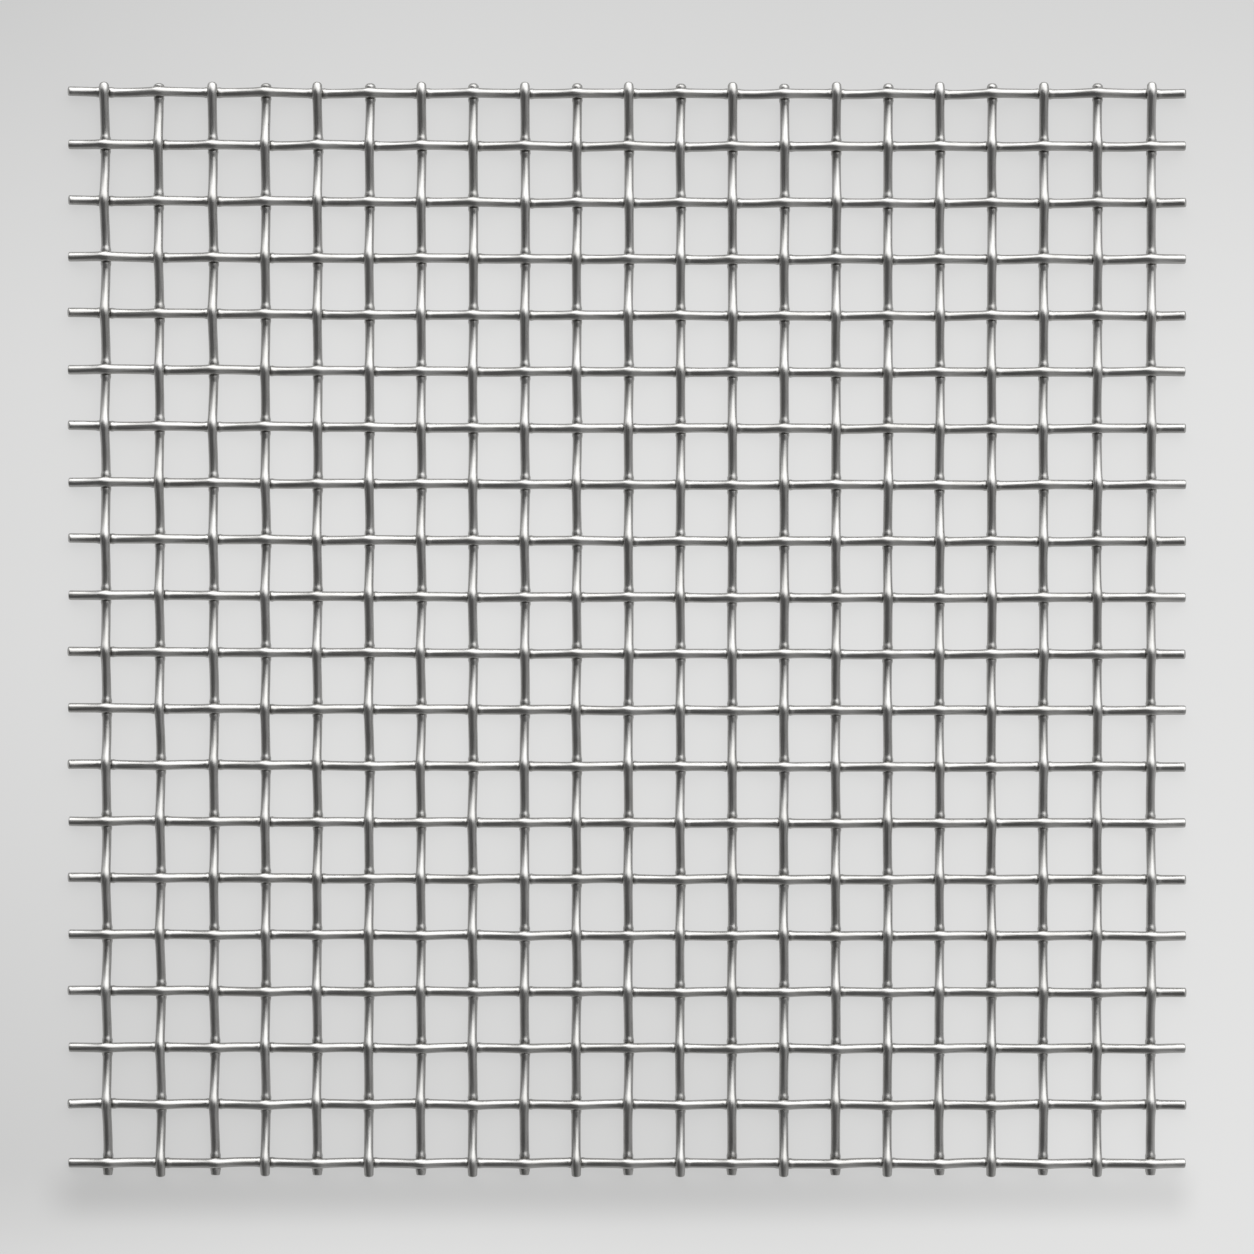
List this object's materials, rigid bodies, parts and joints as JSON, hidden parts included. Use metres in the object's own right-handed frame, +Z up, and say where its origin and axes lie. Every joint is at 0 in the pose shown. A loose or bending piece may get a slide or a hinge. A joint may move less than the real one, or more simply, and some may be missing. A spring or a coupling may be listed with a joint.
{
  "type": "wire gauze",
  "caption": "Flat square of plain-woven crimped steel wire, with cut wire ends all round, that spreads a burner flame under a vessel on a stand.",
  "frame": {"origin": "middle of the footprint, on the surface that the lower knuckles rest on", "axes": "+Z up, out of the side that faces the viewer in the picture; +X along the weft, to the picture's right; +Y along the warp, to the picture's top, which is the back edge"},
  "size_m": [0.1286, 0.1256, 0.0022],
  "materials": {
    "drawn_wire": "bright drawn steel wire, satin, with fine lines along the wire"
  },
  "bodies": {
    "root": {"warp_wire_01": "drawn_wire", "warp_wire_02": "drawn_wire", "warp_wire_03": "drawn_wire", "warp_wire_04": "drawn_wire", "warp_wire_05": "drawn_wire", "warp_wire_06": "drawn_wire", "warp_wire_07": "drawn_wire", "warp_wire_08": "drawn_wire", "warp_wire_09": "drawn_wire", "warp_wire_10": "drawn_wire", "warp_wire_11": "drawn_wire", "warp_wire_12": "drawn_wire", "warp_wire_13": "drawn_wire", "warp_wire_14": "drawn_wire", "warp_wire_15": "drawn_wire", "warp_wire_16": "drawn_wire", "warp_wire_17": "drawn_wire", "warp_wire_18": "drawn_wire", "warp_wire_19": "drawn_wire", "warp_wire_20": "drawn_wire", "warp_wire_21": "drawn_wire", "weft_wire_01": "drawn_wire", "weft_wire_02": "drawn_wire", "weft_wire_03": "drawn_wire", "weft_wire_04": "drawn_wire", "weft_wire_05": "drawn_wire", "weft_wire_06": "drawn_wire", "weft_wire_07": "drawn_wire", "weft_wire_08": "drawn_wire", "weft_wire_09": "drawn_wire", "weft_wire_10": "drawn_wire", "weft_wire_11": "drawn_wire", "weft_wire_12": "drawn_wire", "weft_wire_13": "drawn_wire", "weft_wire_14": "drawn_wire", "weft_wire_15": "drawn_wire", "weft_wire_16": "drawn_wire", "weft_wire_17": "drawn_wire", "weft_wire_18": "drawn_wire", "weft_wire_19": "drawn_wire", "weft_wire_20": "drawn_wire"}
  },
  "joints": []
}
